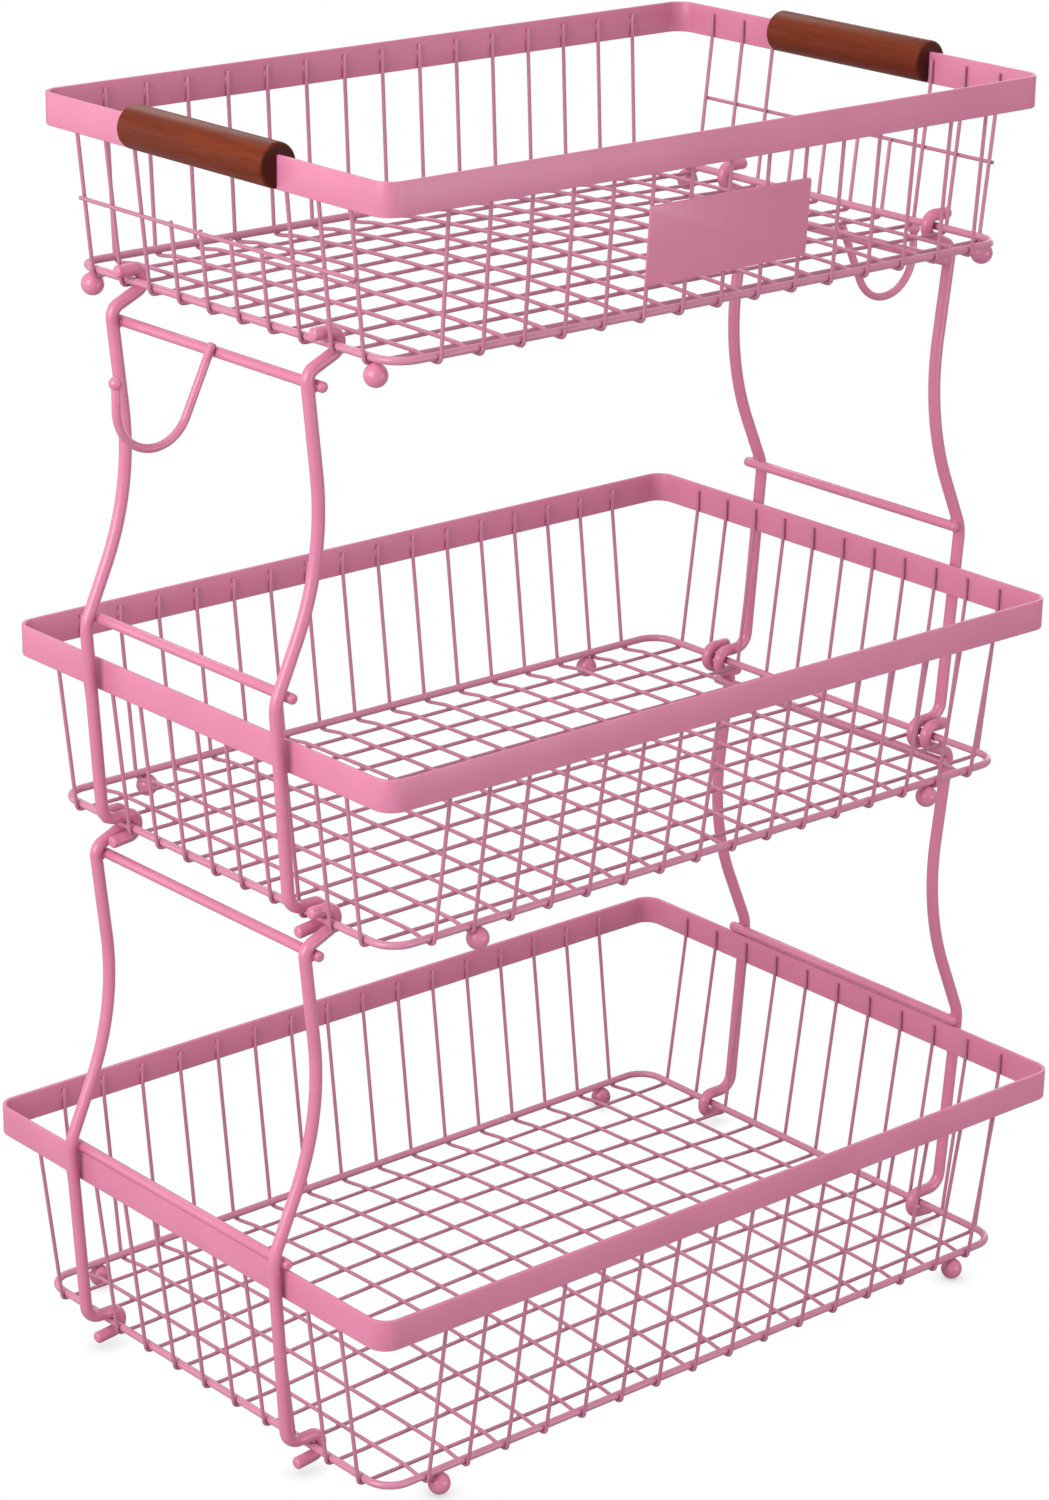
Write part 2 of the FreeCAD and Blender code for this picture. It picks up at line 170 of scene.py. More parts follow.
# Bottom base ring: round steel wire bent into a rounded rectangle and closed by a weld. The mesh wires curl
# round its outside and the ball feet are welded under it.
def bent_rod(name, points, bends, radius, sides, quarter_steps):
    """A rod drawn along straight runs and spun round each bend, as wire is bent on pegs; ends closed."""
    points = [Vector(point) for point in points]
    facing = (points[1] - points[0]).to_track_quat("Z", "Y").to_euler()
    bpy.ops.object.select_all(action="DESELECT")
    bpy.ops.mesh.primitive_circle_add(vertices=sides, radius=radius, location=points[0], rotation=facing)
    rod = bpy.context.object
    rod.name = name
    bpy.ops.object.mode_set(mode="EDIT")
    bpy.ops.mesh.select_mode(type="EDGE")
    bpy.ops.mesh.select_all(action="SELECT")
    here = points[0]
    shortest, longest = 0.00002, 0.002
    end_round = 0.45
    for before, corner, after, bend in zip(points, points[1:], points[2:], bends):
        back = (before - corner).normalized()
        ahead = (after - corner).normalized()
        half = back.angle(ahead) / 2
        enter = corner + back * (bend / math.tan(half))
        if (here - enter).dot(back) > shortest:
            bpy.ops.mesh.extrude_edges_move(TRANSFORM_OT_translate={"value": enter - here})
        turn = math.pi - 2 * half
        pin = corner + (back + ahead).normalized() * (bend / math.sin(half))
        steps = max(2, round(quarter_steps * turn * 2 / math.pi), round(bend * turn / longest))
        bpy.ops.mesh.spin(steps=steps, angle=-turn, center=pin, axis=ahead.cross(back).normalized())
        here = corner + ahead * (bend / math.tan(half))
    bpy.ops.mesh.extrude_edges_move(TRANSFORM_OT_translate={"value": points[-1] - here})
    bpy.ops.mesh.select_all(action="SELECT")
    bpy.ops.mesh.remove_doubles(threshold=shortest)
    bpy.ops.mesh.fill_holes(sides=0)
    bpy.ops.mesh.select_all(action="SELECT")
    bpy.ops.mesh.normals_make_consistent(inside=False)
    bpy.ops.object.mode_set(mode="OBJECT")
    bpy.ops.object.transform_apply(location=True, rotation=True, scale=True)
    soften(rod, radius * end_round, limit=60)
    apply_modifiers(rod)
    bpy.ops.object.shade_smooth_by_angle(angle=math.radians(50))
    return rod


def base_ring(name):
    """The closed ring, started in the middle of its front."""
    low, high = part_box(name)
    corner = 0.013
    radius = (high[2] - low[2]) / 2
    x = high[0] - radius
    y = high[1] - radius
    z = low[2] + radius
    points = [(0, -y, z), (x, -y, z), (x, y, z), (-x, y, z), (-x, -y, z), (0, -y, z)]
    return bent_rod(name + "_wire", points, [corner] * 4, radius, sides=20, quarter_steps=10)


# The ring's pink is a greyer copy of the strip's pink, its tone matched to the round ring as it looks in the
# light: painted sheen on one coat.
light_ring_sheen = (0.585, 0.217, 0.332)
deep_ring_sheen = (0.540, 0.196, 0.305)
ring_coat_painted_sheen = coat_material("pink_coat_ring_painted_sheen", light_ring_sheen, deep_ring_sheen, peel_scale=900.0, bump=0.05,
                          dull=0.34, bright=0.27)
fix(base_ring("bottom_base_ring"), ring_coat_painted_sheen, "pink_coat", "bottom_basket", "bottom_base_ring")


# Bottom mesh: straight-drawn wires bent up at both ends, curled round the base ring and welded inside the
# rim. The cross wires lie on the long ones and dip under the ring. One wire of each set is bent and copied,
# and the welded floor is pressed up into a shallow crown.
# The wires' pink is a darker, greyer copy of the strip's pink: painted shade standing in for the shaded sides
# of thin wire. The welds, slot wires and slot bars share this painted shade.
shaded_light_wire = (0.505, 0.180, 0.284)
shaded_deep_wire = (0.465, 0.163, 0.259)
shaded_wire_coat = coat_material("pink_coat_wire_painted_shade", shaded_light_wire, shaded_deep_wire, peel_scale=1100.0, bump=0.06,
                          dull=0.40, bright=0.32)
mesh_radius = 0.00095
weld_gap = 0.00005
dip_end = 0.0145


def ring_line(basket, along):
    """Half length and height of the base ring's centre line, and its wire's radius."""
    low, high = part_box(basket + "_base_ring")
    radius = (high[2] - low[2]) / 2
    return high[along] - radius, low[2] + radius, radius


def wire_profile(basket, along):
    """Half of a mesh wire as (outward from the middle, height): floor corner, kink at the strip, end."""
    rim_low, rim_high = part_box(basket + "_rim")
    ring_half, ring_z, ring_radius = ring_line(basket, along)
    kink = 0.003
    below_edge = 0.003
    hug = ring_radius + mesh_radius + weld_gap
    out = rim_high[along] - strip_thickness - weld_gap - mesh_radius - ring_half
    up = rim_low[2] - ring_z
    turn = math.acos(hug / math.hypot(out, up)) - math.atan2(up, out)
    floor = (ring_half + out - (up + hug) * math.tan(turn), ring_z - hug)
    return [floor, (ring_half + out, ring_z + up), (ring_half + out, rim_high[2] - below_edge)], [hug, kink]


def repeat_piece(piece, offset, count):
    """Copies of the piece in even steps."""
    repeat = piece.modifiers.new("repeat", "ARRAY")
    repeat.use_relative_offset = False
    repeat.use_constant_offset = True
    repeat.constant_offset_displace = offset
    repeat.count = count


def mirror_piece(piece, axis):
    """The same shape again, across the middle of the stand."""
    other = piece.modifiers.new("other_side", "MIRROR")
    other.use_axis = [direction == axis for direction in "XYZ"]
    other.use_mirror_merge = False


def press_crown(piece, basket, crown):
    """Lifts what lies on the basket's floor, most in the middle and not at all where the wires dip."""
    half_x = ring_line(basket, 0)[0] - dip_end
    half_y = ring_line(basket, 1)[0] - dip_end
    lifted = piece.vertex_groups.new(name="floor")
    for vertex in piece.data.vertices:
        x = vertex.co.x / half_x
        y = vertex.co.y / half_y
        if abs(x) < 1 and abs(y) < 1:
            lifted.add([vertex.index], (1 - x * x) * (1 - y * y), "REPLACE")
    press = piece.modifiers.new("crown", "DISPLACE")
    press.direction = "Z"
    press.mid_level = 0
    press.strength = crown
    press.vertex_group = lifted.name
    apply_modifiers(piece)


def copy_wires(wire, basket, crown, step, count, split):
    """Cuts the wire's floor run into short lengths, copies the wire in even steps, presses in the crown."""
    floor_run = 0.15
    cuts = 19
    bpy.ops.object.mode_set(mode="EDIT")
    bpy.ops.mesh.select_all(action="DESELECT")
    bpy.ops.object.mode_set(mode="OBJECT")
    for edge in wire.data.edges:
        ends = [wire.data.vertices[index].co for index in edge.vertices]
        edge.select = (ends[0] - ends[1]).length > floor_run
    bpy.ops.object.mode_set(mode="EDIT")
    bpy.ops.mesh.subdivide(number_cuts=cuts)
    bpy.ops.object.mode_set(mode="OBJECT")
    repeat_piece(wire, step, split or count)
    if split:
        mirror_piece(wire, "Y")
    apply_modifiers(wire)
    press_crown(wire, basket, crown)


def mesh_set(basket, direction, crown, count, split=0):
    """All the wires of one direction; a split keeps that many at each side and leaves the middle out."""
    node = basket + "_" + direction + "_wires"
    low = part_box(node)[0]
    dipped = direction == "cross"
    along, across = (1, 0) if dipped else (0, 1)
    profile, bends = wire_profile(basket, along)
    if dipped:
        inner = ring_line(basket, along)[0]
        dip_flat = 0.002
        dip_bend = 0.020
        floor_z = profile[0][1]
        raised = floor_z + 2 * mesh_radius + weld_gap
        profile = [(inner - dip_end, raised), (inner - dip_flat, floor_z)] + profile
        bends = [dip_bend, dip_bend] + bends
    first = low[across] + mesh_radius
    pitch = -2 * first / (count - 1)
    points = []
    for side, half in ((-1, profile[::-1]), (1, profile)):
        for out, z in half:
            points.append((first, side * out, z) if dipped else (side * out, first, z))
    wires = bent_rod(node + "_bent", points, bends[::-1] + bends, mesh_radius, sides=12, quarter_steps=5)
    copy_wires(wires, basket, crown, (pitch, 0, 0) if dipped else (0, pitch, 0), count, split)
    fix(wires, shaded_wire_coat, "pink_coat", basket + "_basket", node)


bottom_crown = 0.0065
long_count = 11
cross_count = 16
mesh_set("bottom", "long", bottom_crown, long_count)
mesh_set("bottom", "cross", bottom_crown, cross_count)


# Bottom welds: every crossing of the floor, every wire on the base ring and every wire end on the strip is
# spot welded, and the coat flows into a small smooth lump there.
def lump_of_weld(place, sizes, segments, rings):
    """A squashed ball of weld, with its place in its mesh."""
    bpy.ops.object.select_all(action="DESELECT")
    bpy.ops.mesh.primitive_uv_sphere_add(segments=segments, ring_count=rings, radius=1, location=place)
    lump = bpy.context.object
    bpy.ops.object.mode_set(mode="EDIT")
    bpy.ops.transform.resize(value=sizes, center_override=place)
    bpy.ops.object.mode_set(mode="OBJECT")
    bpy.ops.object.transform_apply(location=True, rotation=True, scale=True)
    bpy.ops.object.shade_smooth()
    return lump


def weld_row(place, sizes, *steps):
    """One lump, copied along each step of (offset, count)."""
    lump = lump_of_weld(place, sizes, segments=8, rings=5)
    for offset, count in steps:
        repeat_piece(lump, offset, count)
    apply_modifiers(lump)
    return lump


def join_pieces(pieces):
    """The pieces as one object, the first of them."""
    bpy.ops.object.select_all(action="DESELECT")
    for piece in pieces:
        piece.select_set(True)
    bpy.context.view_layer.objects.active = pieces[0]
    bpy.ops.object.join()
    return pieces[0]


def basket_welds(basket, crown, cross_count, long_count):
    """The spot welds of one basket's floor, ring and strip as one piece."""
    rim_low, rim_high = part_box(basket + "_rim")
    first_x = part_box(basket + "_cross_wires")[0][0] + mesh_radius
    first_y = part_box(basket + "_long_wires")[0][1] + mesh_radius
    over = ((-2 * first_x / (cross_count - 1), 0, 0), cross_count)
    back = ((0, -2 * first_y / (long_count - 1), 0), long_count)
    ring_x, ring_z, ring_radius = ring_line(basket, 0)
    ring_y = ring_line(basket, 1)[0]
    under = ring_z - ring_radius - weld_gap
    strip_y = rim_high[1] - strip_thickness
    strip_z = (rim_low[2] + rim_high[2]) / 2
    floor_spot = (0.00135, 0.00135, 0.0006)
    cross_end_spot = (0.0016, 0.0014, 0.0007)
    long_end_spot = (0.0014, 0.0016, 0.0007)
    strip_spot = (0.0017, 0.0006, 0.0026)
    spots = [weld_row((first_x, first_y, under), floor_spot, over, back)]
    for side in (-1, 1):
        spots.append(weld_row((first_x, side * ring_y, under), cross_end_spot, over))
        spots.append(weld_row((side * ring_x, first_y, under), long_end_spot, back))
        spots.append(weld_row((first_x, side * strip_y, strip_z), strip_spot, over))
    piece = join_pieces(spots)
    piece.name = basket + "_welds"
    piece.data.materials.clear()
    piece.data.materials.append(shaded_wire_coat)
    press_crown(piece, basket, crown)
    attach(piece, basket + "_basket")
    bpy.ops.object.select_all(action="DESELECT")


basket_welds("bottom", bottom_crown, cross_count, long_count)


# Bottom feet: four steel balls welded under the base ring, each with a short neck of weld drawn up to the
# ring, and coated in the same pink, a little glossier than the strip.
ball_coat = coat_material("pink_coat_ball", light_pink, deep_pink, peel_scale=800.0, bump=0.05,
                          dull=0.30, bright=0.24)


def ball_feet(basket):
    """One ball with its pole drawn up into a neck, mirrored to the other three places."""
    node = basket + "_feet"
    low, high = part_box(node)
    radius = (high[2] - low[2]) / 2
    centre = Vector((low[0] + radius, low[1] + radius, low[2] + radius))
    bpy.ops.mesh.primitive_uv_sphere_add(segments=32, ring_count=20, radius=radius, location=centre)
    ball = bpy.context.object
    ball.name = node + "_balls"
    pole = 0.93
    neck_rise = 0.0004
    neck_taper = (0.8, 0.8, 0.4)
    bpy.ops.object.mode_set(mode="EDIT")
    bpy.ops.mesh.select_mode(type="FACE")
    bpy.ops.mesh.select_all(action="DESELECT")
    bpy.ops.object.mode_set(mode="OBJECT")
    for face in ball.data.polygons:
        face.select = face.center.z > radius * pole
    bpy.ops.object.mode_set(mode="EDIT")
    bpy.ops.mesh.extrude_region_move(TRANSFORM_OT_translate={"value": (0, 0, neck_rise)})
    bpy.ops.transform.resize(value=neck_taper, center_override=(centre.x, centre.y, high[2]))
    bpy.ops.object.mode_set(mode="OBJECT")
    bpy.ops.object.transform_apply(location=True, rotation=True, scale=True)
    mirror_piece(ball, "X")
    mirror_piece(ball, "Y")
    apply_modifiers(ball)
    bpy.ops.object.shade_smooth_by_angle(angle=math.radians(50))
    fix(ball, ball_coat, "pink_coat", basket + "_basket", node)


ball_feet("bottom")


# Lower supports: two uprights of thick round wire, each bent in one plane with a hook at both ends, joined
# by two straight crossbars welded to their inner sides. The lower hooks close round the bottom ring.
upright_coat = coat_material("pink_coat_upright", light_pink, deep_pink, peel_scale=650.0, bump=0.05,
                             dull=0.32, bright=0.25)


def another(piece, name, mirrored, shift=(0, 0, 0)):
    """A copy with a mesh of its own, mirrored to the right side or not and moved into its place."""
    bpy.ops.object.select_all(action="DESELECT")
    piece.select_set(True)
    bpy.context.view_layer.objects.active = piece
    bpy.ops.object.duplicate(linked=False)
    copy = bpy.context.object
    copy.name = name
    bpy.ops.object.mode_set(mode="EDIT")
    bpy.ops.mesh.select_all(action="SELECT")
    bpy.ops.transform.translate(value=shift)
    if mirrored:
        bpy.ops.transform.resize(value=(-1, 1, 1), center_override=(0, 0, 0))
        bpy.ops.mesh.normals_make_consistent(inside=False)
    bpy.ops.object.mode_set(mode="OBJECT")
    return copy


def upright_path(rim, rim_gap, ring_below, ring_above):
    """Centre line of an upright as (outward, height), from the lower hook's tail to the upper one's."""
    radius = 0.003
    hook_gap = 0.00045
    tail = 0.0095
    tail_droop = math.radians(6)
    hip_height = 0.1036
    leg_lean = 0.074
    waist_out, waist_below = 0.0024, 0.095
    shoulder_out = 0.0124
    neck_rise = math.radians(24)
    toe_bend, hip_bend, waist_bend, shoulder_bend = 0.008, 0.020, 0.139, 0.006
    below_x, below_z, ring_radius = ring_line(ring_below, 0)
    above_x, above_z, ring_radius = ring_line(ring_above, 0)
    hook = ring_radius + radius + hook_gap
    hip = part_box(rim)[1][0] + rim_gap + radius
    toe = hip - leg_lean * (hip_height - hook)
    dip = hook + (tail + hook) * math.tan(tail_droop)
    under = above_z - hook * (1 - math.sin(neck_rise)) / math.cos(neck_rise)
    shoulder = under - (shoulder_out + hook) * math.tan(neck_rise)
    path = [(below_x + tail, below_z - dip), (below_x - hook, below_z - hook),
            (below_x - hook, below_z + hook), (toe, below_z + hook), (hip, below_z + hip_height),
            (above_x + waist_out, above_z - waist_below), (above_x + shoulder_out, shoulder),
            (above_x - hook, under), (above_x - hook, above_z + hook), (above_x + tail, above_z + hook)]
    return path, [hook, hook, toe_bend, hip_bend, waist_bend, shoulder_bend, hook, hook]


def uprights(level, path, bends):
    """One upright is bent for the left front, and copied to the other three places."""
    places = [(side, place) for side in ("left", "right") for place in ("front", "rear")]
    pieces = []
    for side, place in places:
        node = "_".join((level, side, place, "upright"))
        low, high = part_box(node)
        y = (low[1] + high[1]) / 2
        if not pieces:
            first_y = y
            points = [(-out, y, z) for out, z in path]
            radius = (high[1] - low[1]) / 2
            pieces.append(bent_rod(node + "_rod", points, bends, radius, sides=22, quarter_steps=12))
        else:
            shift = (0, y - first_y, 0)
            pieces.append(another(pieces[0], node + "_rod", mirrored=side == "right", shift=shift))
    for piece, (side, place) in zip(pieces, places):
        body = "_".join((level, side, "support"))
        fix(piece, upright_coat, "pink_coat", body, "_".join((level, side, place, "upright")))


def crossbars(level, which, lean):
    """A cut length of bar with a bead of weld where it meets each upright, and its copy on the right."""
    nodes = ["_".join((level, side, which, "crossbar")) for side in ("left", "right")]
    low, high = (Vector(corner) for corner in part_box(nodes[0]))
    radius = (high.z - low.z) / 2
    centre = (low + high) / 2
    stub = 0.0045
    bead = (0.0011, 0.0027, 0.0025)
    ends = [Vector((centre.x, y, centre.z)) for y in (low.y, high.y)]
    beads = []
    for y in (low.y + stub, high.y - stub):
        seat = Vector((centre.x - radius * math.cos(lean), y, centre.z + radius * math.sin(lean)))
        beads.append(lump_of_weld(seat, bead, segments=16, rings=10))
    length = bent_rod(nodes[0] + "_bar", ends, [], radius, sides=24, quarter_steps=0)
    left = join_pieces([length] + beads)
    right = another(left, nodes[1] + "_bar", mirrored=True)
    for piece, node in zip((left, right), nodes):
        fix(piece, upright_coat, "pink_coat", node.replace(which + "_crossbar", "support"), node)


lower_rim_gap = 0.00215
uprights("lower", *upright_path("bottom_rim", lower_rim_gap, "bottom", "middle"))
crossbars("lower", "lower", lean=math.radians(4))
crossbars("lower", "upper", lean=math.radians(-7))


# Middle basket: made as the bottom one from the same strip and wire, a size smaller. Its ring rests in the
# upper hooks of the lower supports, and its ball feet serve when it stands on a table alone.
middle_crown = 0.0015
fix(rim_strip("middle_rim"), strip_coat, "pink_coat", "middle_basket", "middle_rim")
fix(base_ring("middle_base_ring"), ring_coat_painted_sheen, "pink_coat", "middle_basket", "middle_base_ring")
mesh_set("middle", "long", middle_crown, long_count)
mesh_set("middle", "cross", middle_crown, cross_count)
basket_welds("middle", middle_crown, cross_count, long_count)
ball_feet("middle")


# Upper supports: the same bent uprights and crossbars, set a little closer together so that their lower
# hooks sit beside the others on the middle ring.
upper_rim_gap = 0.00395
uprights("upper", *upright_path("middle_rim", upper_rim_gap, "middle", "top"))
crossbars("upper", "lower", lean=math.radians(24))
crossbars("upper", "upper", lean=math.radians(-7))


# Side hooks: a J of lighter wire welded to the outside of each upper crossbar, finished with a small ball
# so that a cloth or a loop doesn't catch on a cut end. The left one is made and mirrored.
def side_hook():
    """The bent J and its ball as one piece on the left."""
    bar_low, bar_high = (Vector(corner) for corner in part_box("upper_left_upper_crossbar"))
    tip_low, tip_high = (Vector(corner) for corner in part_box("left_hook_tip"))
    hook_low, hook_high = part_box("left_side_hook")
    radius = (hook_high[1] - hook_low[1]) / 2
    bar = (bar_low + bar_high) / 2
    bar_radius = (bar_high.z - bar_low.z) / 2
    lean = math.radians(26)
    lap_length = 0.003
    bend = 0.0197
    sunk = 0.0004
    collar = 0.0007
    collar_taper = (0.98, 0.98, 1)
    leg = Vector((-math.sin(lean), 0, -math.cos(lean)))
    lap = Vector((bar.x, 0, bar.z)) + Vector((leg.z, 0, -leg.x)) * (bar_radius + radius + weld_gap)
    reach = (tip_low.x + tip_high.x) / 2
    elbow = lap + leg * ((reach - lap.x) / leg.x)
    points = [lap - leg * lap_length, elbow, (reach, 0, tip_low.z + sunk)]
    hook = bent_rod("left_side_hook_rod", points, [bend], radius, sides=20, quarter_steps=12)
    ball_radius = (tip_high.x - tip_low.x) / 2
    bpy.ops.object.select_all(action="DESELECT")
    bpy.ops.mesh.primitive_uv_sphere_add(segments=28, ring_count=18, radius=ball_radius,
                                         location=(reach, 0, tip_high.z - ball_radius))
    tip = bpy.context.object
    seat = (reach, 0, tip_low.z)
    bpy.ops.object.mode_set(mode="EDIT")
    bpy.ops.mesh.bisect(plane_co=seat, plane_no=(0, 0, 1), clear_inner=True)
    bpy.ops.mesh.select_all(action="DESELECT")
    bpy.ops.mesh.select_non_manifold()
    bpy.ops.mesh.extrude_edges_move(TRANSFORM_OT_translate={"value": (0, 0, -collar)})
    bpy.ops.transform.resize(value=collar_taper, center_override=seat)
    bpy.ops.mesh.edge_face_add()
    bpy.ops.object.mode_set(mode="OBJECT")
    bpy.ops.object.transform_apply(location=True, rotation=True, scale=True)
    join_pieces([hook, tip])
    bpy.ops.object.shade_smooth_by_angle(angle=math.radians(50))
    return hook


left_hook = side_hook()
right_hook = another(left_hook, "right_side_hook_rod", mirrored=True)
for hook_piece, hook_side in ((left_hook, "left"), (right_hook, "right")):
    fix(hook_piece, upright_coat, "pink_coat", "upper_" + hook_side + "_support",
        hook_side + "_side_hook", hook_side + "_hook_tip")


# Top basket: the smallest, of the same strip and wire. Its middle long wires are cut short at a bar across
# each short side, which leaves a hand slot under the handles.
top_crown = 0.0035
top_long_count = 10
top_long_each_side = 3
top_cross_count = 15
fix(rim_strip("top_rim"), strip_coat, "pink_coat", "top_basket", "top_rim")
fix(base_ring("top_base_ring"), ring_coat_painted_sheen, "pink_coat", "top_basket", "top_base_ring")
mesh_set("top", "long", top_crown, top_long_count, split=top_long_each_side)
mesh_set("top", "cross", top_crown, top_cross_count)
basket_welds("top", top_crown, top_cross_count, top_long_count)
ball_feet("top")


# Hand slot wires and bars: the short wires end flush with the top of a thin bar that lies outside them and
# is welded to every long wire it crosses.
def slot_wires():
    """The middle long wires, cut short at the bars: one is bent and copied."""
    low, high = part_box("top_slot_wires")
    profile, bends = wire_profile("top", 0)
    corner, kink = profile[:2]
    share = (high[2] - corner[1]) / (kink[1] - corner[1])
    end = corner[0] + (kink[0] - corner[0]) * share
    first = low[1] + mesh_radius
    count = top_long_count - 2 * top_long_each_side
    points = [(-end, first, high[2]), (-corner[0], first, corner[1]), (corner[0], first, corner[1]),
              (end, first, high[2])]
    wires = bent_rod("top_slot_wires_bent", points, [bends[0]] * 2, mesh_radius, sides=12, quarter_steps=5)
    copy_wires(wires, "top", top_crown, (0, -2 * first / (count - 1), 0), count, split=0)
    fix(wires, shaded_wire_coat, "pink_coat", "top_basket", "top_slot_wires")


def slot_bars():
    """A straight thin bar on the left, and its copy on the right."""
    low, high = (Vector(corner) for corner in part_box("left_slot_bar"))
    centre = (low + high) / 2
    ends = [(centre.x, y, centre.z) for y in (low.y, high.y)]
    left = bent_rod("left_slot_bar_wire", ends, [], (high.z - low.z) / 2, sides=14, quarter_steps=0)
    right = another(left, "right_slot_bar_wire", mirrored=True)
    fix(left, shaded_wire_coat, "pink_coat", "top_basket", "left_slot_bar")
    fix(right, shaded_wire_coat, "pink_coat", "top_basket", "right_slot_bar")


slot_wires()
slot_bars()


# Label plate: a blank of thin sheet steel with eased corners, spot welded flat on the front wires and
# coated with them. It is bare.
plate_low, plate_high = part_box("label_plate")
plate_thickness = 0.0012
plate_height = 0.036
plate_corner = 0.0015
plate_edge = 0.00035
plate_lean = math.asin((plate_high[1] - plate_low[1] - plate_thickness) / plate_height)
plate_middle = (Vector(plate_low) + Vector(plate_high)) / 2
bpy.ops.mesh.primitive_plane_add(size=1, location=(0, 0, 0))
plate = bpy.context.object
plate.name = "label_plate_sheet"
bpy.ops.object.mode_set(mode="EDIT")
bpy.ops.transform.resize(value=(plate_high[0] - plate_low[0], plate_height, 1), center_override=(0, 0, 0))
bpy.ops.mesh.bevel(offset=plate_corner, segments=6, affect="VERTICES")
bpy.ops.mesh.select_all(action="SELECT")
bpy.ops.mesh.extrude_region_move(TRANSFORM_OT_translate={"value": (0, 0, plate_thickness)})
bpy.ops.mesh.select_all(action="SELECT")
bpy.ops.transform.translate(value=(0, 0, -plate_thickness / 2))
bpy.ops.mesh.normals_make_consistent(inside=False)
bpy.ops.object.mode_set(mode="OBJECT")
plate.data.transform(Matrix.Translation(plate_middle) @ Matrix.Rotation(math.pi / 2 + plate_lean, 4, "X"))
soften(plate, plate_edge, limit=45)
apply_modifiers(plate)
bpy.ops.object.shade_smooth_by_angle(angle=math.radians(30))
fix(plate, strip_coat, "pink_coat", "top_basket", "label_plate")


# Handles: turned hardwood dowels, stained red-brown and satin lacquered, their ends rounded over. A slot
# sawn from below lets each one be pressed over the strip.
def wood_material():
    """Straight grain along the dowel, pores in the same direction, darker end grain."""
    material = bpy.data.materials.new("stained_dowel")
    material.use_nodes = True
    nodes, links = material.node_tree.nodes, material.node_tree.links
    shader = nodes["Principled BSDF"]
    shader.inputs["Specular IOR Level"].default_value = 0.10
    place = nodes.new("ShaderNodeTexCoord")
    stretch = nodes.new("ShaderNodeMapping")
    stretch.inputs["Scale"].default_value = (1.0, 0.045, 1.0)
    grain = nodes.new("ShaderNodeTexNoise")
    grain.inputs["Scale"].default_value = 260.0
    grain.inputs["Detail"].default_value = 5.0
    grain.inputs["Distortion"].default_value = 0.6
    pores = nodes.new("ShaderNodeTexNoise")
    pores.inputs["Scale"].default_value = 1500.0
    pores.inputs["Detail"].default_value = 2.0
    tone = nodes.new("ShaderNodeValToRGB")
    tone.color_ramp.elements[0].position = 0.32
    tone.color_ramp.elements[0].color = (0.122, 0.018, 0.006, 1)
    tone.color_ramp.elements[1].position = 0.68
    tone.color_ramp.elements[1].color = (0.172, 0.029, 0.009, 1)
    speck = nodes.new("ShaderNodeMapRange")
    speck.inputs["From Min"].default_value = 0.32
    speck.inputs["From Max"].default_value = 0.45
    speck.inputs["To Min"].default_value = 0.72
    speck.inputs["To Max"].default_value = 1.0
    shade = nodes.new("ShaderNodeMix")
    shade.data_type = "RGBA"
    shade.blend_type = "MULTIPLY"
    shade.inputs["Factor"].default_value = 1.0
    facing = nodes.new("ShaderNodeNewGeometry")
    split = nodes.new("ShaderNodeSeparateXYZ")
    endwise = nodes.new("ShaderNodeMath")
    endwise.operation = "ABSOLUTE"
    end_mask = nodes.new("ShaderNodeMapRange")
    end_mask.inputs["From Min"].default_value = 0.75
    end_mask.inputs["From Max"].default_value = 0.97
    ends = nodes.new("ShaderNodeMix")
    ends.data_type = "RGBA"
    ends.inputs["B"].default_value = (0.070, 0.014, 0.010, 1)
    gloss = nodes.new("ShaderNodeMapRange")
    gloss.inputs["To Min"].default_value = 0.42
    gloss.inputs["To Max"].default_value = 0.30
    relief = nodes.new("ShaderNodeBump")
    relief.inputs["Strength"].default_value = 0.12
    relief.inputs["Distance"].default_value = 0.0004
    links.new(place.outputs["Object"], stretch.inputs["Vector"])
    links.new(stretch.outputs["Vector"], grain.inputs["Vector"])
    links.new(stretch.outputs["Vector"], pores.inputs["Vector"])
    links.new(grain.outputs["Fac"], tone.inputs["Fac"])
    links.new(pores.outputs["Fac"], speck.inputs["Value"])
    links.new(tone.outputs["Color"], shade.inputs["A"])
    links.new(speck.outputs["Result"], shade.inputs["B"])
    links.new(facing.outputs["True Normal"], split.inputs["Vector"])
    links.new(split.outputs["Y"], endwise.inputs[0])
    links.new(endwise.outputs["Value"], end_mask.inputs["Value"])
    links.new(end_mask.outputs["Result"], ends.inputs["Factor"])
    links.new(shade.outputs["Result"], ends.inputs["A"])
    links.new(ends.outputs["Result"], shader.inputs["Base Color"])
    links.new(grain.outputs["Fac"], gloss.inputs["Value"])
    links.new(gloss.outputs["Result"], shader.inputs["Roughness"])
    links.new(pores.outputs["Fac"], relief.inputs["Height"])
    links.new(relief.outputs["Normal"], shader.inputs["Normal"])
    return material


